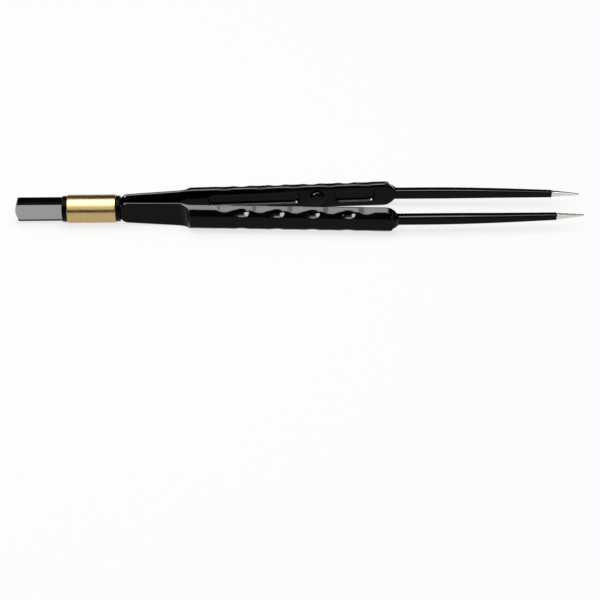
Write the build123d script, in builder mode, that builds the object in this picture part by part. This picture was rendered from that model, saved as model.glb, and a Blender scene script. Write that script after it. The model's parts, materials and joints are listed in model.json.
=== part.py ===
from build123d import *
import os
from math import atan2, cos, degrees, radians, sin, sqrt, tan

# A pair of straight bipolar forceps with a flat two-pole plug, in millimetres and degrees.
# It lies on its side: the plug points to -X, the points to +X, and the arms open along Y.
# The origin is on the surface it lies on, below the middle of its length.

# Lengths along the forceps, from the end of the plug to the points
tongue_length = 16.2
rear_collar_length = 1.7
ring_length = 16.7
front_collar_length = 1.5
leaf_length = 19.9
heel_length = 4.1
grip_length = 67.4
shoulder_length = 4.8
shaft_length = 53.8
tip_length = 9.6

# Plug body, ring and collars
tongue_width = 7.8
tongue_thickness = 3.6
tongue_end_radius = 8.0
tongue_edge = 0.3
collar_diameter = 9.0
core_diameter = 8.6
spigot_diameter = 8.2
ring_diameter = 9.8
ring_edge = 0.3
collar_edge = 0.15
seal_depth = 1.2

# Contact strips, which run from the end of the plug to the roots of the arms
strip_thickness = 0.8
contact_width = 6.2
contact_lead_in = 0.4
strip_step = 0.15
strip_joggle_length = 3.0
lock_hole_diameter = 2.4

# Arms: each gap is from the middle plane to the inner face of an arm
coat_thickness = 0.15
leaf_thickness = 1.45
grip_thickness = 4.45
leaf_root_gap = 1.25
leaf_end_gap = 2.5
grip_start_gap = 3.5
grip_end_gap = 6.2
leaf_root_half_width = 2.64
leaf_neck_length = 2.6
leaf_neck_half_width = 4.3
leaf_end_half_width = 4.85
grip_half_width = 4.38
grip_draft = 8.5
grip_bevel = 1.7
grip_edge = 0.8
inner_edge = 0.45
heel_margin = 0.8
heel_round = 12.0
side_round = 20.0
shoulder_turn = 0.75
shoulder_setback = 1.2

# The shaft at its root, at its bow, at its waist and at the end of the coat
shaft_root_gap = 6.3
shaft_root_thickness = 2.5
shaft_root_inner_half_width = 1.75
shaft_root_outer_half_width = 1.35
shaft_bow_gap = 6.22
shaft_bow_thickness = 2.45
shaft_bow_share = 0.32
shaft_waist_gap = 6.1
shaft_waist_thickness = 2.1
shaft_waist_inner_half_width = 1.42
shaft_waist_outer_half_width = 1.15
shaft_waist_share = 0.64
coat_end_gap = 5.62
coat_end_thickness = 1.6
coat_end_inner_half_width = 1.0
coat_end_outer_half_width = 0.85
shaft_corner = 0.3

# The point of the bare tip, which is a four-sided taper
point_gap = 5.72
point_thickness = 0.52
point_half_width = 0.27
point_corner = 0.1

# Finger dimples, in two staggered rows: on the sides and on the bevels of each grip
dimple_pitch = 12.15
side_dimple_count = 5
bevel_dimple_count = 4
first_side_dimple = 12.0
first_bevel_dimple = 17.9
side_dimple_diameter = 5.2
side_dimple_height = 1.2
bevel_dimple_diameter = 4.7
bevel_dimple_shift = 0.35
dimple_depth = 0.55

# Pockets in the inner face of each grip, and the stop button on the land between them
pocket_width = 4.7
pocket_depth = 1.0
pocket_floor_edge = 0.8
rear_pocket_start = 6.0
rear_pocket_length = 32.2
front_pocket_start = 49.9
front_pocket_length = 14.4
stop_diameter = 5.1
stop_height = 1.1
stop_shank_diameter = 2.4
stop_shank_length = 2.2
stop_edge = 0.5

# Clearances
flex_gap = 0.1
slot_clearance = 0.12
shoulder_sink = 0.12

# Stations along X
overall_length = (tongue_length + rear_collar_length + ring_length + front_collar_length
                  + leaf_length + heel_length + grip_length + shoulder_length
                  + shaft_length + tip_length)
plug_end_x = -overall_length / 2
rear_collar_x = plug_end_x + tongue_length
ring_x = rear_collar_x + rear_collar_length
front_collar_x = ring_x + ring_length
leaf_x = front_collar_x + front_collar_length
heel_x = leaf_x + leaf_length
grip_x = heel_x + heel_length
shoulder_x = grip_x + grip_length
shaft_x = shoulder_x + shoulder_length
coat_end_x = shaft_x + shaft_length
point_x = coat_end_x + tip_length
seal_x = leaf_x - seal_depth
hinge_x = seal_x + flex_gap

# Planes: one through the axis, and the planes of the inner face and section of a grip
axis_z = ring_diameter / 2
axis_plane = Plane.XY.offset(axis_z)
side_plane = Plane(origin=(0, 0, axis_z), x_dir=(1, 0, 0), z_dir=(0, -1, 0))
grip_tilt = atan2(grip_end_gap - grip_start_gap, grip_length)
grip_forward = Vector(cos(grip_tilt), sin(grip_tilt), 0)
grip_outward = Vector(-sin(grip_tilt), cos(grip_tilt), 0)
grip_start = Vector(grip_x, grip_start_gap, axis_z)
grip_plane = Plane(origin=grip_start, x_dir=grip_forward, z_dir=grip_outward)
grip_section_plane = Plane(origin=grip_start, x_dir=grip_outward, z_dir=grip_forward)

# Values worked out from the sizes above
draft = tan(radians(grip_draft))
draft_drop = grip_start_gap - leaf_root_gap - (grip_x - hinge_x) * tan(grip_tilt)
arm_reach = grip_end_gap + grip_thickness + collar_diameter
bevel_height = grip_thickness - grip_bevel
bevel_half_width = grip_half_width - bevel_height * draft
outer_half_width = bevel_half_width - grip_bevel
stop_station = (rear_pocket_start + rear_pocket_length + front_pocket_start) / 2


def station(x):
    """A plane across the forceps at x, with its own x along Y and its own y along Z."""
    return Plane(origin=(x, 0, axis_z), x_dir=(0, 1, 0), z_dir=(1, 0, 0))


def arm_face(inset):
    """The arm seen along Z: leaf, heel, grip and shoulder, drawn in by the inset."""
    leaf_line = Vector(leaf_length, leaf_end_gap - leaf_root_gap).normalized()
    root = Vector(hinge_x, leaf_root_gap) - leaf_line * inset
    root_outer = root + Vector(0, leaf_thickness)
    leaf_outer = Vector(heel_x, leaf_end_gap + leaf_thickness)
    grip_outer = Vector(grip_x, grip_start_gap + grip_thickness)
    grip_slope = Vector(1, tan(grip_tilt))
    bend = Vector(shoulder_x, grip_end_gap + grip_thickness) + grip_slope * shoulder_setback
    shaft_inner = Vector(shoulder_x, grip_end_gap) + grip_slope * shoulder_length
    shaft_outer = Vector(shaft_x, shaft_root_gap + shaft_root_thickness - shoulder_sink)
    turn = bend + (shaft_outer - bend) * shoulder_turn
    with BuildSketch(axis_plane) as face:
        with BuildLine():
            Polyline(root_outer, root, (heel_x, leaf_end_gap), (grip_x, grip_start_gap),
                     shaft_inner, shaft_outer)
            TangentArc(shaft_outer, turn, tangent=(-1, 0))
            TangentArc(bend, turn, tangent=(1, 0))
            Line(bend, grip_outer)
            TangentArc(leaf_outer, grip_outer, tangent=leaf_line)
            Line(leaf_outer, root_outer)
        make_face()
        for corner in ((heel_x, leaf_end_gap), (grip_x, grip_start_gap)):
            fillet(face.vertices().sort_by_distance(corner)[0], heel_round)
        if inset:
            offset(amount=-inset, kind=Kind.INTERSECTION)
    return face.sketch


def arm_outline(inset):
    """The arm seen from its inner side, on the plane where its drafted sides start."""
    spread = draft_drop * draft
    end_half_width = shaft_root_outer_half_width - shoulder_sink + spread
    root = (hinge_x - grip_x - leaf_thickness, leaf_root_half_width)
    neck_start = (leaf_x + flex_gap - grip_x, leaf_root_half_width)
    neck_end = (leaf_x + leaf_neck_length - grip_x, leaf_neck_half_width)
    leaf_end = (heel_x - heel_margin - grip_x, leaf_end_half_width)
    grip_corner = (heel_margin, grip_half_width + spread)
    bend = Vector(grip_length, grip_half_width + spread)
    shaft_start = Vector(grip_length + shoulder_length, end_half_width)
    turn = bend + (shaft_start - bend) * shoulder_turn
    with BuildSketch(grip_plane.offset(-draft_drop)) as outline:
        with BuildLine():
            Polyline((root[0], 0), root, neck_start)
            TangentArc(neck_end, neck_start, tangent=(-1, 0))
            Polyline(neck_end, leaf_end, grip_corner, bend)
            TangentArc(bend, turn, tangent=(1, 0))
            TangentArc(shaft_start, turn, tangent=(-1, 0))
            Line(shaft_start, (shaft_start.X, 0))
            mirror(about=Plane.XZ)
        make_face()
        for x, y in (neck_end, leaf_end, grip_corner):
            for side in (1, -1):
                fillet(outline.vertices().sort_by_distance((x, side * y))[0], side_round)
        # Drawn in too far and let out again, which leaves planes and cones when it is extruded
        offset(amount=-inset - inner_edge, kind=Kind.INTERSECTION)
        offset(amount=inner_edge, kind=Kind.INTERSECTION)
    return outline.sketch


def bevel_cutter(inset):
    """The corner that the bevel takes off a grip, in the section plane of the grip."""
    draw_in = inset * sqrt(0.5)
    low = Vector(bevel_height - draw_in, bevel_half_width - draw_in)
    high = Vector(grip_thickness - draw_in, outer_half_width - draw_in)
    run = (high - low) * 0.9
    with BuildSketch(grip_section_plane.offset(-heel_length)) as cutter:
        with BuildLine():
            Polyline(low - run, high + run, (high.X + run.X, low.Y - run.Y), close=True)
        make_face()
        mirror(about=Plane.XZ)
    return cutter.sketch


def shaft_section(x, gap, thickness, inner_half_width, outer_half_width, inset):
    """A rounded trapezium across the shaft, wider on its inner face."""
    with BuildSketch(station(x)) as section:
        with BuildLine():
            Polyline((gap, inner_half_width), (gap + thickness, outer_half_width),
                     (gap + thickness, -outer_half_width), (gap, -inner_half_width), close=True)
        make_face()
        if inset:
            offset(amount=-inset, kind=Kind.INTERSECTION)
        fillet(section.vertices(), shaft_corner - inset)
    return section.sketch


def shaft_sections(inset):
    """The sections of the shaft, from inside the shoulder to the end of the coat."""
    return [
        shaft_section(shoulder_x + shoulder_setback, shaft_root_gap, shaft_root_thickness,
                      shaft_root_inner_half_width, shaft_root_outer_half_width, inset),
        shaft_section(shaft_x + shaft_length * shaft_bow_share, shaft_bow_gap, shaft_bow_thickness,
                      shaft_root_inner_half_width, shaft_root_outer_half_width, inset),
        shaft_section(shaft_x + shaft_length * shaft_waist_share, shaft_waist_gap,
                      shaft_waist_thickness, shaft_waist_inner_half_width,
                      shaft_waist_outer_half_width, inset),
        shaft_section(coat_end_x, coat_end_gap, coat_end_thickness,
                      coat_end_inner_half_width, coat_end_outer_half_width, inset),
    ]


def dimple_centres(first, count, height, half_width, lean, radius):
    """Centres of a row of dimples, on both sides of a grip, and clear of its surface."""
    out = radius - dimple_depth
    places = []
    for number in range(count):
        for side in (1, -1):
            local = Vector(first + number * dimple_pitch,
                           side * (half_width + out * cos(radians(lean))),
                           height + out * sin(radians(lean)))
            places.append(grip_plane.from_local_coords(local))
    return places


def dimple_radius(diameter):
    """The ball that leaves a dimple of this diameter at the common depth."""
    return (diameter ** 2 / 4 + dimple_depth ** 2) / (2 * dimple_depth)


def pocket_cutter(inset):
    """The two pockets in the inner face of a grip, with rounded floors."""
    with BuildPart() as cutter:
        with BuildSketch(grip_plane):
            with Locations((rear_pocket_start + rear_pocket_length / 2, 0)):
                SlotOverall(rear_pocket_length + 2 * inset, pocket_width + 2 * inset)
            with Locations((front_pocket_start + front_pocket_length / 2, 0)):
                SlotOverall(front_pocket_length + 2 * inset, pocket_width + 2 * inset)
        extrude(amount=pocket_depth + inset)
        floors = cutter.faces().group_by(Axis(grip_start, grip_outward))[-1]
        fillet(floors.edges(), pocket_floor_edge + inset)
    return cutter.part


def arm_blank(inset):
    """One arm from its root to the end of its coat, drawn in by the inset all over."""
    side_ball = dimple_radius(side_dimple_diameter)
    bevel_ball = dimple_radius(bevel_dimple_diameter)
    side_half_width = grip_half_width - side_dimple_height * draft
    bevel_middle = grip_bevel / 2 - bevel_dimple_shift * sqrt(0.5)
    with BuildPart() as blank:
        extrude(arm_face(inset), amount=arm_reach, both=True)
        extrude(arm_outline(inset), amount=draft_drop + grip_thickness + flex_gap,
                taper=grip_draft, mode=Mode.INTERSECT)
        extrude(bevel_cutter(inset), amount=overall_length, mode=Mode.SUBTRACT)
        long_edges = blank.edges().filter_by(lambda edge: edge.length > grip_length * 0.9)
        fillet(long_edges.sort_by(Axis.Y)[-4:], grip_edge - inset)
        long_edges = blank.edges().filter_by(lambda edge: edge.length > grip_length * 0.9)
        fillet(long_edges.sort_by(Axis.Y)[:2], inner_edge - inset)
        loft(shaft_sections(inset))
        with Locations(*dimple_centres(first_side_dimple, side_dimple_count, side_dimple_height,
                                       side_half_width, grip_draft, side_ball)):
            Sphere(side_ball + inset, mode=Mode.SUBTRACT)
        with Locations(*dimple_centres(first_bevel_dimple, bevel_dimple_count,
                                       bevel_height + bevel_middle,
                                       bevel_half_width - bevel_middle, 45, bevel_ball)):
            Sphere(bevel_ball + inset, mode=Mode.SUBTRACT)
        add(pocket_cutter(inset), mode=Mode.SUBTRACT)
        with BuildSketch(grip_plane):
            with Locations((stop_station, 0)):
                Circle(stop_shank_diameter / 2)
        extrude(amount=stop_shank_length, mode=Mode.SUBTRACT)
    return blank.part


# Contact strips: metal, flush with the broad faces of the plug, stepped down under the collar
# and joggled out to the arms
with BuildPart() as strip_form:
    strip_outer = tongue_thickness / 2
    strip_inner = strip_outer - strip_thickness
    root_inner = leaf_root_gap + coat_thickness
    root_outer = leaf_root_gap + leaf_thickness - coat_thickness
    joggle_x = front_collar_x - strip_joggle_length
    root_half_width = leaf_root_half_width - coat_thickness
    contact_half_width = contact_width / 2
    corner_x = plug_end_x + tongue_end_radius - sqrt(tongue_end_radius ** 2 - contact_half_width ** 2)
    with BuildSketch(axis_plane):
        with BuildLine():
            Polyline((plug_end_x, strip_inner), (plug_end_x, strip_outer),
                     (rear_collar_x, strip_outer), (rear_collar_x, strip_outer - strip_step),
                     (joggle_x, strip_outer - strip_step), (front_collar_x, root_outer),
                     (seal_x, root_outer), (seal_x, root_inner),
                     (front_collar_x, root_inner), (joggle_x, strip_inner), close=True)
        make_face()
    extrude(amount=contact_half_width, both=True)
    with BuildSketch(side_plane):
        with BuildLine():
            ThreePointArc((corner_x, -contact_half_width), (plug_end_x, 0),
                          (corner_x, contact_half_width))
            Polyline((corner_x, contact_half_width), (joggle_x, contact_half_width),
                     (joggle_x, root_half_width), (seal_x, root_half_width),
                     (seal_x, -root_half_width), (joggle_x, -root_half_width),
                     (joggle_x, -contact_half_width), (corner_x, -contact_half_width))
        make_face()
    extrude(amount=tongue_thickness, both=True, mode=Mode.INTERSECT)
    with BuildSketch(side_plane):
        with Locations((ring_x + ring_length / 2, 0)):
            Circle(lock_hole_diameter / 2)
    extrude(amount=tongue_thickness, both=True, mode=Mode.SUBTRACT)

with BuildPart() as upper_contact:
    add(strip_form.part)
    end_rims = upper_contact.edges().filter_by(GeomType.CIRCLE).group_by(Axis.X)[0]
    chamfer(end_rims.sort_by(Axis.Y)[-1], contact_lead_in)
upper_contact.part.label = "upper_contact"

with BuildPart() as lower_contact:
    mirror(upper_contact.part, about=Plane.XZ)
lower_contact.part.label = "lower_contact"

# Plug body: one moulding with the flat tongue, the rear collar and the core under the ring
with BuildPart() as plug_body:
    half_width = tongue_width / 2
    shoulder_of_end = tongue_end_radius - sqrt(tongue_end_radius ** 2 - half_width ** 2)
    end_corner_x = plug_end_x + shoulder_of_end
    with BuildSketch(side_plane):
        with BuildLine():
            ThreePointArc((end_corner_x, -half_width), (plug_end_x, 0), (end_corner_x, half_width))
            Polyline((end_corner_x, half_width), (rear_collar_x, half_width),
                     (rear_collar_x, -half_width), (end_corner_x, -half_width))
        make_face()
    extrude(amount=tongue_thickness / 2, both=True)
    fillet(plug_body.edges().filter_by(Axis.X), tongue_edge)
    with BuildSketch(station(rear_collar_x)):
        Circle(collar_diameter / 2)
    extrude(amount=rear_collar_length)
    chamfer(plug_body.edges(Select.LAST).filter_by(GeomType.CIRCLE).group_by(SortBy.RADIUS)[-1],
            collar_edge)
    with BuildSketch(station(ring_x)):
        Circle(core_diameter / 2)
    extrude(amount=ring_length)
    with BuildSketch(station(front_collar_x)):
        Circle(spigot_diameter / 2)
    extrude(amount=front_collar_length - seal_depth)
    add(strip_form.part, mode=Mode.SUBTRACT)
    mirror(strip_form.part, about=Plane.XZ, mode=Mode.SUBTRACT)
plug_body.part.label = "plug_body"

# Marking ring: a turned sleeve over the core
with BuildPart() as marking_ring:
    with BuildSketch(station(ring_x)):
        Circle(ring_diameter / 2)
        Circle(core_diameter / 2, mode=Mode.SUBTRACT)
    extrude(amount=ring_length)
    fillet(marking_ring.edges().filter_by(GeomType.CIRCLE).group_by(SortBy.RADIUS)[-1], ring_edge)
marking_ring.part.label = "marking_ring"

# Front collar: a thin bush on the spigot, which holds the ring
with BuildPart() as front_collar:
    with BuildSketch(station(front_collar_x)):
        Circle(collar_diameter / 2)
        Circle(spigot_diameter / 2, mode=Mode.SUBTRACT)
    extrude(amount=front_collar_length)
    outer_rims = front_collar.edges().filter_by(GeomType.CIRCLE).group_by(SortBy.RADIUS)[-1]
    chamfer(outer_rims.sort_by(Axis.X)[-1], collar_edge)
front_collar.part.label = "front_collar"

# Front seal: a disc in the collar, with a slot round the root of each arm
with BuildPart() as front_seal:
    slot_thickness = leaf_thickness + 2 * slot_clearance
    slot_width = 2 * (leaf_root_half_width + slot_clearance)
    slot_centre = leaf_root_gap + leaf_thickness / 2
    with BuildSketch(station(seal_x)):
        Circle(spigot_diameter / 2)
        with Locations((slot_centre, 0), (-slot_centre, 0)):
            Rectangle(slot_thickness, slot_width, mode=Mode.SUBTRACT)
    extrude(amount=seal_depth)
front_seal.part.label = "front_seal"

# Blades: leaf, grip core, shaft and bare tip in one piece of metal
metal_form = arm_blank(coat_thickness)
with BuildPart() as upper_blade:
    add(metal_form)
    with BuildSketch(station(point_x)) as point:
        with Locations((point_gap + point_thickness / 2, 0)):
            Rectangle(point_thickness, 2 * point_half_width)
        fillet(point.vertices(), point_corner)
    loft([shaft_sections(coat_thickness)[-1], point.sketch])
upper_blade.part.label = "upper_blade"

with BuildPart() as lower_blade:
    mirror(upper_blade.part, about=Plane.XZ)
lower_blade.part.label = "lower_blade"

# Coats: black insulation over each blade, with the finger dimples, up to the bare tip
with BuildPart() as upper_coat:
    add(arm_blank(0))
    add(metal_form, mode=Mode.SUBTRACT)
upper_coat.part.label = "upper_coat"

with BuildPart() as lower_coat:
    mirror(upper_coat.part, about=Plane.XZ)
lower_coat.part.label = "lower_coat"

# Stop buttons: each has a rounded head on the land and a shank pressed into the blade
with BuildPart() as upper_stop:
    with BuildSketch(grip_plane):
        with Locations((stop_station, 0)):
            Circle(stop_shank_diameter / 2)
    extrude(amount=stop_shank_length)
    with BuildSketch(grip_plane):
        with Locations((stop_station, 0)):
            Circle(stop_diameter / 2)
    extrude(amount=-stop_height)
    head_face = upper_stop.faces().sort_by(Axis.Y)[0]
    fillet(head_face.edges(), stop_edge)
upper_stop.part.label = "upper_stop"

with BuildPart() as lower_stop:
    mirror(upper_stop.part, about=Plane.XZ)
lower_stop.part.label = "lower_stop"

# One STEP file for each piece
os.makedirs("parts", exist_ok=True)
pieces = [plug_body, marking_ring, front_collar, front_seal, upper_contact, lower_contact,
          upper_blade, lower_blade, upper_coat, lower_coat, upper_stop, lower_stop]
for piece in pieces:
    export_step(piece.part, f"parts/{piece.part.label}.step")
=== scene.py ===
import json
from math import atan, atan2, cos, hypot, pi, radians, sin, sqrt, tan

import bmesh
import bpy
import numpy as np
from mathutils import Matrix, Vector


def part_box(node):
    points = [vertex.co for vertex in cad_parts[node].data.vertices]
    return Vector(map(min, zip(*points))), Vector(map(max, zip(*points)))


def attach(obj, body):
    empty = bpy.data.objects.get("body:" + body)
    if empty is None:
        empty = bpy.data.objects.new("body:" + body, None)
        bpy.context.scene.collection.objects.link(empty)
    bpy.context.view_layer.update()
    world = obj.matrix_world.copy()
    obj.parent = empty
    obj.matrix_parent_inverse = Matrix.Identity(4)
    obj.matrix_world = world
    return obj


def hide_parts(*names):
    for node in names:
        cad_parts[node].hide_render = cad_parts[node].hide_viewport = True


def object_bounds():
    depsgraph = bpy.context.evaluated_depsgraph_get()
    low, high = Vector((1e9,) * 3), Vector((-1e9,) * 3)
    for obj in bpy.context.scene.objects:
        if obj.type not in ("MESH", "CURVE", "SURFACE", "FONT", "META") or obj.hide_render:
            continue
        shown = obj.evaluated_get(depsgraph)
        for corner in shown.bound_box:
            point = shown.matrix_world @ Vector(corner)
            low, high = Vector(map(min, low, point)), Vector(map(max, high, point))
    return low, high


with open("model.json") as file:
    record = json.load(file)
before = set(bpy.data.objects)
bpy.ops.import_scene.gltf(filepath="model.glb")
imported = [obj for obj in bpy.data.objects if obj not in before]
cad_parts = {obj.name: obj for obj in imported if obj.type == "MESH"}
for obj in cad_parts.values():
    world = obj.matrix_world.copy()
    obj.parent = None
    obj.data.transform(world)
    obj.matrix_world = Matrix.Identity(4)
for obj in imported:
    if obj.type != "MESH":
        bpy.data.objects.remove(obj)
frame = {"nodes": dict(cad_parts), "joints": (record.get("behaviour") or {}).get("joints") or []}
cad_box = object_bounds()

# Straight bipolar forceps: black dip-coated arms, bare points, a turned ring and a flat plug.
# Every length is in metres, in the frame of the forceps: plug at -X, points at +X, floor at Z 0.
# The upper arm is the far one, at +Y, and the lower arm is its mirror image at -Y.
MM = 0.001

# From the frame: the height of the axis, the hinges of the arms, the points and the ring
axis_z = (cad_box[0].z + cad_box[1].z) / 2
hinge_x = frame["joints"][0]["pos_m"][0]
point_x = cad_box[1].x
ring_start_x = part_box("marking_ring")[0].x
ring_end_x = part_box("marking_ring")[1].x

# Stations along the arms
leaf_x = -61.75 * MM
heel_x = -41.85 * MM
grip_x = -37.75 * MM
shoulder_x = 29.65 * MM
shaft_x = 34.45 * MM
coat_end_x = 88.25 * MM

# An arm seen from above: gaps are measured from the middle plane to its inner face
coat_thickness = 0.15 * MM
leaf_thickness = 1.45 * MM
grip_thickness = 4.45 * MM
leaf_root_gap = 1.25 * MM
leaf_end_gap = 2.5 * MM
grip_start_gap = 3.5 * MM
grip_end_gap = 6.2 * MM
shoulder_setback = 1.2 * MM
shoulder_turn = 0.75
shoulder_sink = 0.12 * MM

# An arm seen from its inner side
leaf_root_half_width = 2.64 * MM
leaf_neck_start = 0.1 * MM
leaf_neck_length = 2.6 * MM
leaf_neck_half_width = 4.3 * MM
leaf_end_half_width = 4.85 * MM
heel_margin = 0.8 * MM
grip_half_width = 4.85 * MM
grip_bevel = 1.7 * MM
draft = tan(radians(14.9))
leaf_draft_share = 0.3

# The shaft at its root, bow and waist and at the end of its coat
shaft_stations = [shoulder_x + shoulder_setback, 51.666 * MM, 68.882 * MM, coat_end_x]
shaft_gaps = [6.2 * MM, 6.15 * MM, 6.0 * MM, 5.6 * MM]
shaft_thicknesses = [2.7 * MM, 2.68 * MM, 2.4 * MM, 1.9 * MM]
shaft_inner_half_widths = [1.85 * MM, 1.85 * MM, 1.6 * MM, 1.2 * MM]
shaft_outer_half_widths = [1.78 * MM, 1.78 * MM, 1.52 * MM, 1.14 * MM]

# The bare tip at its point, and the play between the metal and its coat
point_gap = 5.72 * MM
point_thickness = 0.52 * MM
point_half_width = 0.27 * MM
point_round = 0.12 * MM
point_end_share = 0.6
blade_clearance = 0.02 * MM

# Roundings of the coat
inner_round = 0.8 * MM
leaf_round = 0.45 * MM
grip_round = 0.8 * MM
shaft_inner_share = 0.28
shaft_outer_share = 0.5
heel_round = 0.5 * MM
crease_round = 1.2 * MM
coat_lip = 0.12 * MM

# Dimples of a grip, in a row on its sides and a row on its bevels. A squeeze above 1 makes them
# narrower, first towards the inner face and then towards the outer face.
dimple_pitch = 12.15 * MM
dimple_lip = 0.3 * MM
first_side_dimple = 12.0 * MM
side_dimple_count = 5
side_dimple_diameter = 5.2 * MM
side_dimple_depth = 0.45 * MM
side_dimple_height = 1.5 * MM
side_dimple_squeeze = [1.1, 0.75]
first_bevel_dimple = 17.9 * MM
bevel_dimple_count = 4
bevel_dimple_diameter = 4.7 * MM
bevel_dimple_depth = 0.55 * MM
bevel_dimple_shift = 0.35 * MM
bevel_dimple_squeeze = [1.15, 1.15]

# Pockets in the inner face of a grip, from the grip's start, with the stop between them
pockets = [(6.0 * MM, 38.2 * MM), (49.9 * MM, 64.3 * MM)]
pocket_half_width = 2.35 * MM
pocket_depth = 1.0 * MM
pocket_wall = 1.2 * MM
pocket_wall_curve = 3
pocket_lip = 0.12 * MM

# The turned ring and the stop buttons
ring_radius = 4.9 * MM
ring_bore_radius = 4.3 * MM
ring_edge = 0.3 * MM
stop_station = 44.05 * MM
stop_radius = 2.55 * MM
stop_height = 1.1 * MM
stop_edge = 0.55 * MM
stop_crown = 0.12 * MM
stop_shank_radius = 1.2 * MM
stop_shank_length = 2.2 * MM
stop_shank_edge = 0.1 * MM

# Values worked out from the sizes above
grip_slope = (grip_end_gap - grip_start_gap) / (shoulder_x - grip_x)
grip_tilt = atan(grip_slope)
leaf_slope = (leaf_end_gap - leaf_root_gap) / (heel_x - leaf_x)
draft_drop = grip_start_gap - leaf_root_gap - (grip_x - hinge_x) * grip_slope
draft_spread = draft_drop * draft
bevel_height = grip_thickness - grip_bevel
bevel_half_width = grip_half_width - bevel_height * draft
past_shoulder = Vector((coat_end_x - shaft_x, shaft_x - coat_end_x))

# Fineness of the curves, of the rings of points round an arm and of what is turned
arc_steps = 24
curve_step = 0.02 * MM
curve_x = np.arange(hinge_x, coat_end_x + curve_step, curve_step)
plain_spacing = 0.6 * MM
grip_spacing = 0.22 * MM
grip_spacing_margin = 1.5 * MM
pocket_edge_spacing = 0.08 * MM
pocket_edge_reach = 0.4 * MM
pocket_edge_rows = [1.9 * MM, 2.55 * MM]
points_across = {"pocket": 6, "pocket_edge": 12, "inner": 4, "corner": 5,
                 "side": 14, "bevel": 20, "outer": 8}
wall_coarseness = 3
lip_rings = 3
tip_rings = 24
corner_steps = 6
crown_steps = 8
turned_steps = 160
merge_distance = 0.0001 * MM
crease_angle = radians(40)

# The middle part of a noise, which a finish is spread over
noise_low = 0.3
noise_high = 0.7

# The studio; the heights are those of a line of sight that is 1 long
floor_reach = 6.0
floor_evenness = 0.75
floor_white = 0.9
world_light = 0.25
horizon_height = 0.04
sky_height = 0.12
sky_white = 0.05

# The photograph's view
camera_aim = Vector((-0.9, -49.62, 4.9)) * MM
camera_distance = 558.05 * MM
camera_elevation = radians(40.45)
camera_azimuth = radians(1.53)
camera_roll = radians(0.45)
camera_nearest = 10 * MM
sensor_width = 36
focal_pixels = 1722.6
picture_pixels = 600


def tangent_arc(start, end, direction):
    """Points of the arc that leaves start in a direction and ends at end."""
    chord = end - start
    bend = atan2(direction.x * chord.y - direction.y * chord.x, direction.dot(chord))
    radius = chord.length / (2 * sin(bend))
    centre = start + Vector((-direction.y, direction.x)) * radius
    return [centre + Matrix.Rotation(2 * bend * step / arc_steps, 2) @ (start - centre)
            for step in range(arc_steps + 1)]


def arc_points(centre, radius, first, last, count):
    """Points round a corner, from one angle to another, with both ends."""
    return [centre + Vector((cos(angle), sin(angle))) * radius
            for angle in (first + (last - first) * step / count for step in range(count + 1))]


def line_points(start, end, count):
    """Points from start to short of end."""
    return [start.lerp(end, step / count) for step in range(count)]


def curve_through(points):
    """Heights of a line of points, sampled at every station of the curves."""
    return np.interp(curve_x, [point.x for point in points], [point.y for point in points])


def disc_steps(radius):
    """Steps to each side under a disc of this radius, with the height of the disc there."""
    reach = int(radius / curve_step)
    for step in range(-reach, reach + 1):
        yield step, sqrt(radius ** 2 - (step * curve_step) ** 2)


def shifted(curve, step):
    """The curve moved along by whole steps, with its ends held."""
    places = np.clip(np.arange(len(curve)) + step, 0, len(curve) - 1)
    return curve[places]


def drawn_in(curve, radius):
    """The curve lowered by a disc that rolls along its under side."""
    return np.min([shifted(curve, step) - rise for step, rise in disc_steps(radius)], axis=0)


def let_out(curve, radius):
    """The curve raised by a disc that rolls along its upper side."""
    return np.max([shifted(curve, step) + rise for step, rise in disc_steps(radius)], axis=0)


def rounded(curve, radius):
    """The curve with the corners that stick out rounded."""
    return let_out(drawn_in(curve, radius), radius)


def smooth_through(stations, values, x):
    """A smooth line through a few stations, flat at the first."""
    slopes = [0]
    for place in range(1, len(stations)):
        before = (values[place] - values[place - 1]) / (stations[place] - stations[place - 1])
        last = place == len(stations) - 1
        after = before if last else ((values[place + 1] - values[place])
                                     / (stations[place + 1] - stations[place]))
        slopes.append((before + after) / 2)
    place = 0
    while place < len(stations) - 2 and x > stations[place + 1]:
        place += 1
    length = stations[place + 1] - stations[place]
    share = min(max((x - stations[place]) / length, 0), 1)
    return (values[place] * (2 * share ** 3 - 3 * share ** 2 + 1)
            + slopes[place] * length * (share ** 3 - 2 * share ** 2 + share)
            + values[place + 1] * (3 * share ** 2 - 2 * share ** 3)
            + slopes[place + 1] * length * (share ** 3 - share ** 2))


def ease(low, high, value):
    """Rises smoothly from 0 at low to 1 at high."""
    share = min(max((value - low) / (high - low), 0), 1)
    return share * share * (3 - 2 * share)


def soft_max(first, second, softness):
    """The larger of two values, with a soft change from one to the other."""
    apart = first - second
    if abs(apart) >= softness:
        return max(first, second)
    return second + (apart + softness) ** 2 / (4 * softness)


def inner_face():
    """The inner face of leaf, heel and grip along X, with soft creases."""
    grip_far_gap = grip_start_gap + (coat_end_x - grip_x) * grip_slope
    curve = curve_through([Vector((hinge_x, leaf_root_gap)), Vector((heel_x, leaf_end_gap)),
                           Vector((grip_x, grip_start_gap)), Vector((coat_end_x, grip_far_gap))])
    return rounded(-rounded(-curve, crease_round), crease_round)


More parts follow.
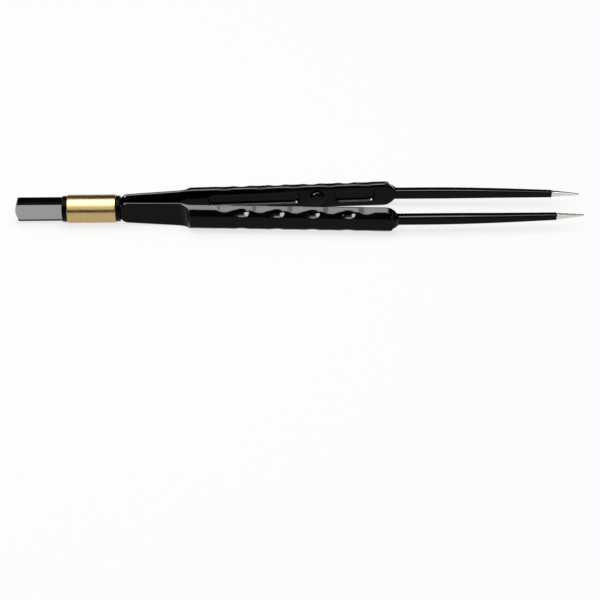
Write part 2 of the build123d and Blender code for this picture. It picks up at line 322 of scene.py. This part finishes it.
def outer_face():
    """The outer face of leaf, heel, grip and shoulder along X, with a soft heel."""
    leaf_end = Vector((heel_x, leaf_end_gap + leaf_thickness))
    grip_start = Vector((grip_x, grip_start_gap + grip_thickness))
    bend = (Vector((shoulder_x, grip_end_gap + grip_thickness))
            + Vector((1, grip_slope)) * shoulder_setback)
    shaft_start = Vector((shaft_x, shaft_gaps[0] + shaft_thicknesses[0] - shoulder_sink))
    turn = bend.lerp(shaft_start, shoulder_turn)
    line = [Vector((hinge_x, leaf_root_gap + leaf_thickness))]
    line += tangent_arc(leaf_end, grip_start, Vector((1, leaf_slope)).normalized())
    line += tangent_arc(bend, turn, Vector((1, 0)))
    line += reversed(tangent_arc(shaft_start, turn, Vector((-1, 0))))
    line.append(shaft_start + past_shoulder)
    return rounded(curve_through(line), heel_round)


def side_outline():
    """Half width of leaf, heel, grip and shoulder along X, where the draft starts."""
    neck_start = Vector((leaf_x + leaf_neck_start, leaf_root_half_width))
    neck_end = Vector((leaf_x + leaf_neck_length, leaf_neck_half_width))
    bend = Vector((shoulder_x, grip_half_width + draft_spread))
    shaft_start = Vector((shaft_x, shaft_outer_half_widths[0] - shoulder_sink + draft_spread))
    turn = bend.lerp(shaft_start, shoulder_turn)
    line = [Vector((hinge_x, leaf_root_half_width))]
    line += reversed(tangent_arc(neck_end, neck_start, Vector((-1, 0))))
    line.append(Vector((heel_x - heel_margin, leaf_end_half_width)))
    line.append(Vector((grip_x + heel_margin, grip_half_width + draft_spread)))
    line += tangent_arc(bend, turn, Vector((1, 0)))
    line += reversed(tangent_arc(shaft_start, turn, Vector((-1, 0))))
    line.append(shaft_start + past_shoulder)
    return rounded(curve_through(line), crease_round)


inner_curve = inner_face()
outer_curve = outer_face()
side_curve = side_outline()


def half_width_at(x, y):
    """Half width of leaf, heel, grip or shoulder at a point of its side, with its draft."""
    along = (x - grip_x) * cos(grip_tilt) + (y - grip_start_gap) * sin(grip_tilt) + grip_x
    height = (y - grip_start_gap) * cos(grip_tilt) - (x - grip_x) * sin(grip_tilt) + draft_drop
    share = leaf_draft_share + (1 - leaf_draft_share) * ease(heel_x, grip_x, x)
    drawn = max(height * draft * share, 0)
    middle = int(round((along - hinge_x) / curve_step))
    reach = int(drawn / curve_step)
    low = max(middle - reach, 0)
    high = min(middle + reach, len(side_curve) - 1)
    if low > high:
        return side_curve[min(max(middle, 0), len(side_curve) - 1)] - drawn
    places = np.arange(low, high + 1)
    rise = np.sqrt(np.maximum(drawn ** 2 - ((places - middle) * curve_step) ** 2, 0))
    return float(np.min(side_curve[places] - rise))


def arm_section(x):
    """Inner face, outer face, the half widths there, and the two roundings, across an arm."""
    inner = float(np.interp(x, curve_x, inner_curve))
    outer = float(np.interp(x, curve_x, outer_curve))
    inner_half_width = half_width_at(x, inner)
    outer_half_width = half_width_at(x, outer)
    inner_radius = inner_round
    outer_radius = leaf_round + (grip_round - leaf_round) * ease(heel_x, grip_x, x)
    if x > shaft_stations[0]:
        gap = smooth_through(shaft_stations, shaft_gaps, x)
        thickness = smooth_through(shaft_stations, shaft_thicknesses, x)
        shaft_inner = smooth_through(shaft_stations, shaft_inner_half_widths, x)
        shaft_outer = smooth_through(shaft_stations, shaft_outer_half_widths, x)
        inner = -soft_max(-inner, -gap, coat_thickness) if x < shaft_x else gap
        outer = soft_max(outer, gap + thickness, coat_thickness)
        inner_half_width = soft_max(inner_half_width, shaft_inner, coat_thickness)
        outer_half_width = soft_max(outer_half_width, shaft_outer, coat_thickness)
        thinning = ease(shaft_stations[0], shaft_x, x)
        inner_radius += (shaft_inner_share * shaft_inner - inner_radius) * thinning
        outer_radius += (shaft_outer_share * shaft_outer - outer_radius) * thinning
    past = x - (coat_end_x - coat_lip)
    lip = coat_lip - sqrt(max(coat_lip ** 2 - past ** 2, 0)) if past > 0 else 0
    return (inner + lip, outer - lip, inner_half_width - lip, outer_half_width - lip,
            inner_radius - lip, outer_radius - lip)


def tip_section(share):
    """Section of the bare tip, from 0 at the end of the coat to 1 at the point."""
    start = [shaft_gaps[-1] + coat_thickness,
             shaft_gaps[-1] + shaft_thicknesses[-1] - coat_thickness,
             shaft_inner_half_widths[-1] - coat_thickness,
             shaft_outer_half_widths[-1] - coat_thickness,
             shaft_inner_share * shaft_inner_half_widths[-1],
             shaft_outer_share * shaft_outer_half_widths[-1] - coat_thickness]
    end = [point_gap, point_gap + point_thickness, point_half_width, point_half_width,
           point_round, point_round]
    return [first + (last - first) * share for first, last in zip(start, end)]


def bevel_points(side_centre, outer_centre, radius, side_angle, count):
    """Evenly spaced points over the corner, the bevel and the next corner, short of the last."""
    first_arc = radius * (pi / 4 - side_angle)
    second_arc = radius * pi / 4
    flat = (outer_centre - side_centre).length
    points = []
    for step in range(count):
        reach = (first_arc + flat + second_arc) * step / count
        centre = side_centre
        angle = side_angle + min(reach, first_arc) / radius
        if reach > first_arc and flat > 0:
            centre = side_centre.lerp(outer_centre, min((reach - first_arc) / flat, 1))
        if reach > first_arc + flat:
            centre = outer_centre
            angle = pi / 4 + (reach - first_arc - flat) / radius
        points.append(centre + Vector((cos(angle), sin(angle))) * radius)
    return points


def section_points(x, section):
    """One ring of points round a section: (Z from the axis, Y from the middle plane)."""
    inner, outer, inner_half, outer_half, inner_radius, outer_radius = section
    side = Vector((outer_half - inner_half, outer - inner)).normalized()
    normal = Vector((side.y, -side.x))
    side_angle = atan2(normal.y, normal.x)
    inner_centre = Vector((inner_half - inner_radius * (1 + normal.y) / normal.x,
                           inner + inner_radius))
    outer_centre = Vector((outer_half - outer_radius * (1 - normal.y) / normal.x,
                           outer - outer_radius))
    bevel_sum = (bevel_half_width + bevel_height + grip_start_gap + (x - grip_x) * grip_slope
                 - outer_radius * sqrt(2))
    side_centre = outer_centre
    if outer_centre.x + outer_centre.y > bevel_sum:
        start = Vector((inner_half, inner)) - normal * outer_radius
        side_centre = start + side * (bevel_sum - start.x - start.y) / (side.x + side.y)
        outer_centre = Vector((bevel_sum - outer_centre.y, outer_centre.y))
    inner_start = Vector((inner_centre.x, inner))
    inner_end = inner_centre + normal * inner_radius
    side_end = side_centre + normal * outer_radius
    outer_start = Vector((outer_centre.x, outer))
    outer_middle = Vector((0, outer))
    flat = inner_start.x
    edge_start = Vector((min(pocket_edge_rows[0], flat / 2), inner))
    edge_end = Vector((min(pocket_edge_rows[1], flat * 2 / 3), inner))
    half = line_points(Vector((0, inner)), edge_start, points_across["pocket"])
    half += line_points(edge_start, edge_end, points_across["pocket_edge"])
    half += line_points(edge_end, inner_start, points_across["inner"])
    half += arc_points(inner_centre, inner_radius, -pi / 2, side_angle,
                       points_across["corner"])[:-1]
    half += line_points(inner_end, side_end, points_across["side"])
    half += bevel_points(side_centre, outer_centre, outer_radius, side_angle,
                         points_across["bevel"])
    half += line_points(outer_start, outer_middle, points_across["outer"])
    half.append(outer_middle)
    other_half = [Vector((-point.x, point.y)) for point in reversed(half[1:-1])]
    return half + other_half


def ring_spacing(x):
    """How far apart the rings of points are, with the finest at the ends of the pockets."""
    if any(abs(x - grip_x - end) < pocket_edge_reach for pocket in pockets for end in pocket):
        return pocket_edge_spacing
    if heel_x - grip_spacing_margin < x < shaft_x:
        return grip_spacing
    return plain_spacing


def ring_stations(coarseness):
    """Stations of the rings of points, closer together where the arm turns steeply."""
    lip_x = coat_end_x - coat_lip
    stations = [hinge_x]
    while stations[-1] < lip_x:
        x = stations[-1]
        probe = min(x + curve_step, coat_end_x)
        outer, half_width = arm_section(x)[1:3]
        next_outer, next_half_width = arm_section(probe)[1:3]
        climb = max(abs(next_outer - outer), abs(next_half_width - half_width))
        steepness = climb / (probe - x)
        stations.append(x + ring_spacing(x) * coarseness / sqrt(1 + steepness ** 2))
    stations[-1] = lip_x
    for ring in range(1, lip_rings + 1):
        stations.append(lip_x + coat_lip * sin(pi / 2 * ring / lip_rings))
    return stations


def dimple_row(first, count, diameter, depth, squeeze, seat, lean):
    """A row of dimples on each side: centre, way out, ball radius, depth and squeeze of each.

    Centres are along, up and out from the grip's start.
    """
    radius = (diameter ** 2 / 4 + depth ** 2) / (2 * depth)
    row = []
    for number in range(count):
        for side in (1, -1):
            centre = Vector((first + number * dimple_pitch, side * seat.x, seat.y))
            outward = Vector((0, side * cos(lean), sin(lean)))
            row.append((centre, outward, radius, depth, squeeze))
    return row


def grip_dimples():
    """The dimples on the sides of a grip, and those on its bevels about half a pitch on."""
    side_seat = Vector((grip_half_width - side_dimple_height * draft, side_dimple_height))
    bevel_middle = grip_bevel / 2 - bevel_dimple_shift * sqrt(0.5)
    bevel_seat = Vector((bevel_half_width - bevel_middle, bevel_height + bevel_middle))
    side_row = dimple_row(first_side_dimple, side_dimple_count, side_dimple_diameter,
                          side_dimple_depth, side_dimple_squeeze, side_seat, atan(draft))
    bevel_row = dimple_row(first_bevel_dimple, bevel_dimple_count, bevel_dimple_diameter,
                           bevel_dimple_depth, bevel_dimple_squeeze, bevel_seat, pi / 4)
    return side_row + bevel_row


def dimple_press(local, centre, outward, radius, depth, squeeze):
    """How far a dimple presses a point of the plain grip inwards."""
    away = local - centre
    up = 1 if outward.y > 0 else -1
    across = up * (away.z * outward.y - away.y * outward.z)
    across *= squeeze[1] if across > 0 else squeeze[0]
    room = radius ** 2 - away.x ** 2 - across ** 2
    if room <= 0:
        return 0
    return soft_max(away.dot(outward) + sqrt(room) - radius + depth, 0, dimple_lip)


def pocket_drop(along, up):
    """How deep the pockets are at a point of the inner face of a grip."""
    for start, end in pockets:
        nearest = min(max(along, start + pocket_half_width), end - pocket_half_width)
        inside = pocket_half_width - hypot(along - nearest, up)
        if inside > -pocket_lip:
            share = min(inside / pocket_wall, 1)
            return soft_max(pocket_depth * (1 - (1 - share) ** pocket_wall_curve), 0, pocket_lip)
    return 0


def press_grip(place, dimples):
    """Presses the dimples and pockets into a point of the plain grip, given as (X, Y, Z)."""
    x, y, z = place
    along = (x - grip_x) * cos(grip_tilt) + (y - grip_start_gap) * sin(grip_tilt)
    out = (y - grip_start_gap) * cos(grip_tilt) - (x - grip_x) * sin(grip_tilt)
    local = Vector((along, z - axis_z, out))
    if abs(out) < curve_step / 2:
        local.z += pocket_drop(local.x, local.y)
    for dimple in dimples:
        centre, outward = dimple[:2]
        if abs(local.x - centre.x) < dimple_pitch / 2 and local.y * centre.y > 0:
            local -= outward * dimple_press(local, *dimple)
    return Vector((grip_x + local.x * cos(grip_tilt) - local.z * sin(grip_tilt),
                   grip_start_gap + local.x * sin(grip_tilt) + local.z * cos(grip_tilt),
                   axis_z + local.y))


def ring_edges(mesh, ring):
    """The edges between neighbours in a closed ring of vertices."""
    return [mesh.edges.get(pair) for pair in zip(ring, ring[1:] + ring[:1])]


def extruded(mesh, ring):
    """Extrudes a closed ring of vertices; returns the new ring in the same order."""
    grown = set(bmesh.ops.extrude_edge_only(mesh, edges=ring_edges(mesh, ring))["geom"])
    return [next(edge.other_vert(vertex) for edge in vertex.link_edges
                 if edge.other_vert(vertex) in grown) for vertex in ring]


def place_ring(ring, x, section):
    """Puts a ring of vertices on the outline of a section at a station."""
    for vertex, point in zip(ring, section_points(x, section)):
        vertex.co = (x, point.y, axis_z + point.x)


def skin_rings(mesh, coarseness):
    """A tube round the upper arm, extruded from station to station; returns its rings."""
    dimples = grip_dimples()
    around = len(section_points(hinge_x, arm_section(hinge_x)))
    ring = bmesh.ops.create_circle(mesh, segments=around, radius=leaf_root_half_width)["verts"]
    rings = []
    for x in ring_stations(coarseness):
        if rings:
            ring = extruded(mesh, ring)
        place_ring(ring, x, arm_section(x))
        if grip_x - heel_round < x < shoulder_x:
            for vertex in ring:
                vertex.co = press_grip(vertex.co, dimples)
        rings.append(ring)
    return rings


def sink_rings(mesh, rings, depth):
    """Moves the rings inwards, square to the skin, and at the lip square to the arm."""
    mesh.normal_update()
    moves = [(vertex, vertex.normal.copy()) for ring in rings for vertex in ring]
    for vertex, way_out in moves:
        if vertex.co.x > coat_end_x - coat_lip:
            way_out = Vector((0, way_out.y, way_out.z)).normalized()
        vertex.co -= way_out * depth


def coat_shape():
    """The thin closed coat of the upper arm, with its dimples, pockets and rounded ends."""
    mesh = bmesh.new()
    wall = skin_rings(mesh, wall_coarseness)
    skin = skin_rings(mesh, 1)
    bmesh.ops.recalc_face_normals(mesh, faces=mesh.faces)
    sink_rings(mesh, wall, coat_thickness)
    for end in (0, -1):
        rim = extruded(mesh, skin[end])
        bmesh.ops.weld_verts(mesh, targetmap=dict(zip(rim, wall[end])))
    for face in mesh.faces:
        face.smooth = True
    return mesh


def blade_shape():
    """The metal of the upper arm: its core under the coat and its bare tapered tip."""
    mesh = bmesh.new()
    rings = skin_rings(mesh, wall_coarseness)
    bmesh.ops.holes_fill(mesh, edges=ring_edges(mesh, rings[0]))
    bmesh.ops.recalc_face_normals(mesh, faces=mesh.faces)
    sink_rings(mesh, rings, coat_thickness + blade_clearance)
    bmesh.ops.translate(mesh, vec=(coat_thickness, 0, 0), verts=rings[0])
    ring = rings[-1]
    tip_length = point_x - point_round / 2 - coat_end_x
    for number in range(1, tip_rings + 1):
        share = number / tip_rings
        ring = extruded(mesh, ring)
        place_ring(ring, coat_end_x + tip_length * share, tip_section(share))
    middle = sum((vertex.co for vertex in ring), Vector()) / len(ring)
    end = extruded(mesh, ring)
    bmesh.ops.scale(mesh, vec=(1, point_end_share, point_end_share),
                    space=Matrix.Translation(-middle), verts=end)
    bmesh.ops.translate(mesh, vec=(point_round / 2, 0, 0), verts=end)
    bmesh.ops.holes_fill(mesh, edges=ring_edges(mesh, end))
    for face in mesh.faces:
        face.smooth = len(face.verts) == 4
    return mesh


def turned(profile, closed):
    """A profile of (along, out) points turned once round the X axis, with its creases kept."""
    mesh = bmesh.new()
    verts = [mesh.verts.new((point.x, point.y, 0)) for point in profile]
    edges = [mesh.edges.new(pair) for pair in zip(verts, verts[1:])]
    if closed:
        edges.append(mesh.edges.new((verts[-1], verts[0])))
    bmesh.ops.spin(mesh, geom=verts + edges, cent=(0, 0, 0), axis=(1, 0, 0), dvec=(0, 0, 0),
                   angle=2 * pi, steps=turned_steps, use_merge=True)
    bmesh.ops.remove_doubles(mesh, verts=mesh.verts, dist=merge_distance)
    bmesh.ops.recalc_face_normals(mesh, faces=mesh.faces)
    for face in mesh.faces:
        face.smooth = True
    for edge in mesh.edges:
        edge.smooth = not edge.is_manifold or edge.calc_face_angle() < crease_angle
    return mesh


def stop_shape():
    """A stop button with a slightly domed head and a shank pressed into the upper arm."""
    sphere = (stop_radius ** 2 + stop_crown ** 2) / (2 * stop_crown)
    crown_reach = stop_radius - stop_edge
    profile = []
    for step in range(crown_steps):
        out = crown_reach * step / crown_steps
        profile.append(Vector((sphere - stop_height - sqrt(sphere ** 2 - out ** 2), out)))
    rim = sphere - stop_height - sqrt(sphere ** 2 - crown_reach ** 2)
    profile += arc_points(Vector((rim + stop_edge, crown_reach)), stop_edge, pi, pi / 2,
                          corner_steps)
    profile.append(Vector((0, stop_radius)))
    profile.append(Vector((0, stop_shank_radius)))
    profile.append(Vector((stop_shank_length - stop_shank_edge, stop_shank_radius)))
    profile.append(Vector((stop_shank_length, stop_shank_radius - stop_shank_edge)))
    profile.append(Vector((stop_shank_length, 0)))
    mesh = turned(profile, False)
    turn = Matrix.Rotation(pi / 2 + grip_tilt, 4, "Z")
    seat = Vector((grip_x + stop_station * cos(grip_tilt),
                   grip_start_gap + stop_station * sin(grip_tilt), axis_z))
    bmesh.ops.transform(mesh, matrix=Matrix.Translation(seat) @ turn, verts=mesh.verts)
    return mesh


def new_object(name, mesh, material):
    """An object of a finished mesh, in one material."""
    data = bpy.data.meshes.new(name)
    mesh.to_mesh(data)
    mesh.free()
    data.materials.append(material)
    made = bpy.data.objects.new(name, data)
    bpy.context.scene.collection.objects.link(made)
    return made


def new_piece(name, mesh, material, body, node):
    """A piece that rides on a body, in the material given, and is shown in place of a node,
    which is hidden.
    """
    piece = new_object(name, mesh, material)
    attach(piece, body)
    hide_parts(node)
    return piece


def turned_ring(material):
    """The plain ring, with rounded outer edges and its bore on the core."""
    shoulder_radius = ring_radius - ring_edge
    profile = [Vector((ring_start_x, ring_bore_radius))]
    profile += arc_points(Vector((ring_start_x + ring_edge, shoulder_radius)), ring_edge,
                          pi, pi / 2, corner_steps)
    profile += arc_points(Vector((ring_end_x - ring_edge, shoulder_radius)), ring_edge,
                          pi / 2, 0, corner_steps)
    profile.append(Vector((ring_end_x, ring_bore_radius)))
    mesh = turned(profile, True)
    bmesh.ops.translate(mesh, vec=(0, 0, axis_z), verts=mesh.verts)
    return new_piece("turned_ring", mesh, material, "root", "marking_ring")


def on_both_arms(shape, part, ending, material):
    """A piece of the upper arm's shape, and its mirror image on the lower arm."""
    pieces = []
    for arm, side in (("upper", 1), ("lower", -1)):
        mesh = shape.copy()
        bmesh.ops.scale(mesh, vec=(1, side, 1), verts=mesh.verts)
        bmesh.ops.recalc_face_normals(mesh, faces=mesh.faces)
        node = f"{arm}_{part}"
        pieces.append(new_piece(f"{node}_{ending}", mesh, material, f"{arm}_arm", node))
    shape.free()
    return pieces


def material_nodes(name):
    """A new material with an empty Principled shader, its node tree and a texture coordinate."""
    material = bpy.data.materials.new(name)
    material.use_nodes = True
    tree = material.node_tree
    shader = tree.nodes["Principled BSDF"]
    place = tree.nodes.new("ShaderNodeTexCoord")
    return material, tree, shader, place


def stretched_noise(tree, place, stretch, size, detail=4.0):
    """A noise whose grains are `size` long, stretched by a factor along each axis."""
    mapping = tree.nodes.new("ShaderNodeMapping")
    mapping.inputs["Scale"].default_value = [1 / (size * factor) for factor in stretch]
    noise = tree.nodes.new("ShaderNodeTexNoise")
    noise.inputs["Scale"].default_value = 1.0
    noise.inputs["Detail"].default_value = detail
    tree.links.new(place.outputs["Object"], mapping.inputs["Vector"])
    tree.links.new(mapping.outputs["Vector"], noise.inputs["Vector"])
    return noise.outputs["Fac"]


def spread_values(tree, factor, low, high):
    """Maps the middle of a noise to the range from low to high."""
    spread = tree.nodes.new("ShaderNodeMapRange")
    spread.inputs["From Min"].default_value = noise_low
    spread.inputs["From Max"].default_value = noise_high
    spread.inputs["To Min"].default_value = low
    spread.inputs["To Max"].default_value = high
    tree.links.new(factor, spread.inputs["Value"])
    return spread.outputs["Result"]


def mix_colours(tree, factor, dark, light):
    """Blends two colours over the middle of a noise."""
    ramp = tree.nodes.new("ShaderNodeValToRGB")
    ramp.color_ramp.elements[0].position = noise_low
    ramp.color_ramp.elements[0].color = (*dark, 1)
    ramp.color_ramp.elements[1].position = noise_high
    ramp.color_ramp.elements[1].color = (*light, 1)
    tree.links.new(factor, ramp.inputs["Fac"])
    return ramp.outputs["Color"]


def add_bump(tree, shader, height, distance):
    """Raises the surface by a height field, distance high."""
    bump = tree.nodes.new("ShaderNodeBump")
    bump.inputs["Strength"].default_value = 1.0
    bump.inputs["Distance"].default_value = distance
    tree.links.new(height, bump.inputs["Height"])
    tree.links.new(bump.outputs["Normal"], shader.inputs["Normal"])


def black_coat():
    """Glossy dip-coated lacquer, faintly wavy, a little deeper or duller from place to place."""
    material, tree, shader, place = material_nodes("black_coat")
    shader.inputs["Specular IOR Level"].default_value = 0.09
    shade = stretched_noise(tree, place, (2, 1, 1), 4 * MM)
    tree.links.new(mix_colours(tree, shade, (0.0008, 0.0008, 0.001), (0.0015, 0.0015, 0.0017)),
                   shader.inputs["Base Color"])
    gloss = stretched_noise(tree, place, (3, 1, 1), 1.5 * MM)
    tree.links.new(spread_values(tree, gloss, 0.06, 0.11), shader.inputs["Roughness"])
    waves = stretched_noise(tree, place, (1.5, 1, 1), 1.5 * MM, detail=1.0)
    add_bump(tree, shader, waves, 0.004 * MM)
    return material


def black_moulding(name, shine, roughness):
    """Moulded black plastic or resin with a fine grain."""
    material, tree, shader, place = material_nodes(name)
    shader.inputs["Specular IOR Level"].default_value = shine
    shade = stretched_noise(tree, place, (1, 1, 1), 2 * MM)
    tree.links.new(mix_colours(tree, shade, (0.0008, 0.0008, 0.001), (0.0018, 0.0018, 0.002)),
                   shader.inputs["Base Color"])
    gloss = stretched_noise(tree, place, (1, 1, 1), 0.8 * MM)
    tree.links.new(spread_values(tree, gloss, roughness - 0.04, roughness + 0.04),
                   shader.inputs["Roughness"])
    grain = stretched_noise(tree, place, (1, 1, 1), 0.15 * MM, detail=3.0)
    add_bump(tree, shader, grain, 0.002 * MM)
    return material


def brushed_metal(name, dark, light, roughness, line_width, stretch, depth):
    """Bright metal with fine turning or grinding lines, stretched the way they run."""
    material, tree, shader, place = material_nodes(name)
    shader.inputs["Metallic"].default_value = 1.0
    lines = stretched_noise(tree, place, stretch, line_width)
    tree.links.new(mix_colours(tree, lines, dark, light), shader.inputs["Base Color"])
    patches = stretched_noise(tree, place, (4, 1, 1), 1.5 * MM)
    tree.links.new(spread_values(tree, patches, roughness - 0.05, roughness + 0.05),
                   shader.inputs["Roughness"])
    add_bump(tree, shader, lines, depth)
    return material


def dress(material, *names):
    """Gives the CAD nodes of these names one material."""
    for name in names:
        mesh = frame["nodes"][name].data
        mesh.materials.clear()
        mesh.materials.append(material)


coat_material = black_coat()
moulding_material = black_moulding("black_moulding", shine=0.06, roughness=0.2)
resin_material = black_moulding("black_resin", shine=0.08, roughness=0.35)
gold_material = brushed_metal("gold_ring", dark=(0.42, 0.29, 0.12), light=(0.54, 0.40, 0.19),
                              roughness=0.24, line_width=0.05 * MM, stretch=(1, 40, 40),
                              depth=0.001 * MM)
contact_material = brushed_metal("contact_metal", dark=(0.30, 0.30, 0.30),
                                 light=(0.36, 0.36, 0.36), roughness=0.32,
                                 line_width=0.04 * MM, stretch=(40, 1, 1), depth=0.001 * MM)
tip_material = brushed_metal("tip_metal", dark=(0.62, 0.59, 0.55), light=(0.70, 0.67, 0.63),
                             roughness=0.3, line_width=0.05 * MM, stretch=(30, 1, 1),
                             depth=0.0001 * MM)
dress(moulding_material, "plug_body", "front_collar")
dress(resin_material, "front_seal")
dress(contact_material, "upper_contact", "lower_contact")
bright_pieces = [turned_ring(gold_material),
                 *on_both_arms(blade_shape(), "blade", "metal", tip_material)]
glossy_pieces = [*on_both_arms(coat_shape(), "coat", "skin", coat_material),
                 *on_both_arms(stop_shape(), "stop", "button", coat_material)]


def seen_directly_or_reflected(tree):
    """1 for what the camera, a reflection or a clear material sees, 0 for the light itself."""
    path = tree.nodes.new("ShaderNodeLightPath")
    total = path.outputs["Is Camera Ray"]
    for name in ("Is Glossy Ray", "Is Transmission Ray"):
        add = tree.nodes.new("ShaderNodeMath")
        add.operation = "ADD"
        add.use_clamp = True
        tree.links.new(total, add.inputs[0])
        tree.links.new(path.outputs[name], add.inputs[1])
        total = add.outputs["Value"]
    return total


def floor_material():
    """A pale floor: mostly even white to the eye, with a faint part that takes the shadow."""
    material, tree, shader, place = material_nodes("pale_floor")
    shader.inputs["Base Color"].default_value = (floor_white, floor_white, floor_white, 1)
    shader.inputs["Roughness"].default_value = 0.9
    shader.inputs["Specular IOR Level"].default_value = 0.0
    even = tree.nodes.new("ShaderNodeEmission")
    even.inputs["Strength"].default_value = 1.0
    share = tree.nodes.new("ShaderNodeMath")
    share.operation = "MULTIPLY"
    share.inputs[1].default_value = floor_evenness
    mix = tree.nodes.new("ShaderNodeMixShader")
    tree.links.new(seen_directly_or_reflected(tree), share.inputs[0])
    tree.links.new(share.outputs["Value"], mix.inputs["Fac"])
    tree.links.new(shader.outputs["BSDF"], mix.inputs[1])
    tree.links.new(even.outputs["Emission"], mix.inputs[2])
    tree.links.new(mix.outputs["Shader"], tree.nodes["Material Output"].inputs["Surface"])
    return material


def lay_floor():
    """A wide plain floor at the height that the forceps lies on."""
    mesh = bmesh.new()
    bmesh.ops.create_grid(mesh, x_segments=1, y_segments=1, size=floor_reach)
    new_object("floor", mesh, floor_material())


def soft_lamp(name, place, width, depth, radiance, gloss_only=None):
    """A lamp aimed at the middle, its width level.

    One with gloss_only gives no plain light, and only shine to that collection of pieces.
    """
    lamp = bpy.data.lights.new(name, "AREA")
    lamp.shape = "RECTANGLE"
    lamp.size = width
    lamp.size_y = depth
    lamp.energy = radiance * pi * width * depth
    holder = bpy.data.objects.new(name, lamp)
    back = Vector(place).normalized()
    level = (Vector((1, 0, 0)) - back * back.x).normalized()
    turn = Matrix((level, back.cross(level), back)).transposed().to_4x4()
    holder.matrix_world = Matrix.Translation(place) @ turn
    if gloss_only:
        holder.visible_diffuse = False
        holder.light_linking.receiver_collection = gloss_only
    bpy.context.scene.collection.objects.link(holder)


def studio_world():
    """Pale surroundings, white at the horizon and dim above, with a little plain light."""
    world = bpy.data.worlds.new("studio")
    bpy.context.scene.world = world
    world.use_nodes = True
    tree = world.node_tree
    background = tree.nodes["Background"]
    background.inputs["Color"].default_value = (1, 1, 1, 1)
    direction = tree.nodes.new("ShaderNodeTexCoord")
    parts = tree.nodes.new("ShaderNodeSeparateXYZ")
    tree.links.new(direction.outputs["Generated"], parts.inputs["Vector"])
    fade = tree.nodes.new("ShaderNodeMapRange")
    fade.interpolation_type = "SMOOTHSTEP"
    fade.inputs["From Min"].default_value = horizon_height
    fade.inputs["From Max"].default_value = sky_height
    fade.inputs["To Min"].default_value = 1.0
    fade.inputs["To Max"].default_value = sky_white
    tree.links.new(parts.outputs["Z"], fade.inputs["Value"])
    strength = tree.nodes.new("ShaderNodeMapRange")
    strength.inputs["To Min"].default_value = world_light
    tree.links.new(seen_directly_or_reflected(tree), strength.inputs["Value"])
    tree.links.new(fade.outputs["Result"], strength.inputs["To Max"])
    tree.links.new(strength.outputs["Result"], background.inputs["Strength"])


def pieces_together(name, pieces):
    """A collection of the pieces that a lamp is kept to."""
    together = bpy.data.collections.new(name)
    for piece in pieces:
        together.objects.link(piece)
    return together


def light_scene():
    """One wide lamp for plain light, and lamps for the shine of the metal and of the coats."""
    studio_world()
    metals = pieces_together("bright_pieces", bright_pieces)
    coats = pieces_together("glossy_pieces", glossy_pieces)
    soft_lamp("overhead", place=(-0.1, 0.0, 0.8), width=0.9, depth=0.9, radiance=2.8)
    soft_lamp("metal_gloss", place=(-0.05, 0.0, 0.8), width=0.9, depth=0.42, radiance=4.0,
              gloss_only=metals)
    soft_lamp("metal_front", place=(-0.05, -0.57, 0.6), width=0.9, depth=0.5, radiance=1.2,
              gloss_only=metals)
    soft_lamp("gloss", place=(-0.175, 0.19, 0.765), width=0.77, depth=0.76, radiance=14.0,
              gloss_only=coats)
    soft_lamp("wide_gloss", place=(-0.2, 0.19, 0.765), width=1.4, depth=0.76, radiance=12.0,
              gloss_only=coats)
    soft_lamp("left_spot", place=(-0.49, -0.285, 0.574), width=0.36, depth=0.36, radiance=70.0,
              gloss_only=coats)
    soft_lamp("right_spot", place=(0.5, -0.285, 0.574), width=0.16, depth=0.16, radiance=30.0,
              gloss_only=coats)
    soft_lamp("heel_spot", place=(-0.66, -0.09, 0.64), width=0.24, depth=0.24, radiance=80.0,
              gloss_only=coats)


def photo_camera():
    """The photograph's view: a long lens above the near side, with a slight roll."""
    level = cos(camera_elevation)
    forward = Vector((sin(camera_azimuth) * level, cos(camera_azimuth) * level,
                      -sin(camera_elevation)))
    right = Vector((cos(camera_azimuth), -sin(camera_azimuth), 0))
    up = right.cross(forward)
    rolled_right = right * cos(camera_roll) + up * sin(camera_roll)
    rolled_up = up * cos(camera_roll) - right * sin(camera_roll)
    camera = bpy.data.objects.new("camera", bpy.data.cameras.new("camera"))
    camera.data.sensor_width = sensor_width
    camera.data.lens = sensor_width * focal_pixels / picture_pixels
    camera.data.clip_start = camera_nearest
    turn = Matrix((rolled_right, rolled_up, -forward)).transposed().to_4x4()
    camera.matrix_world = Matrix.Translation(camera_aim - forward * camera_distance) @ turn
    bpy.context.scene.collection.objects.link(camera)
    bpy.context.scene.camera = camera


lay_floor()
light_scene()
photo_camera()
bpy.context.scene.view_settings.view_transform = "Standard"
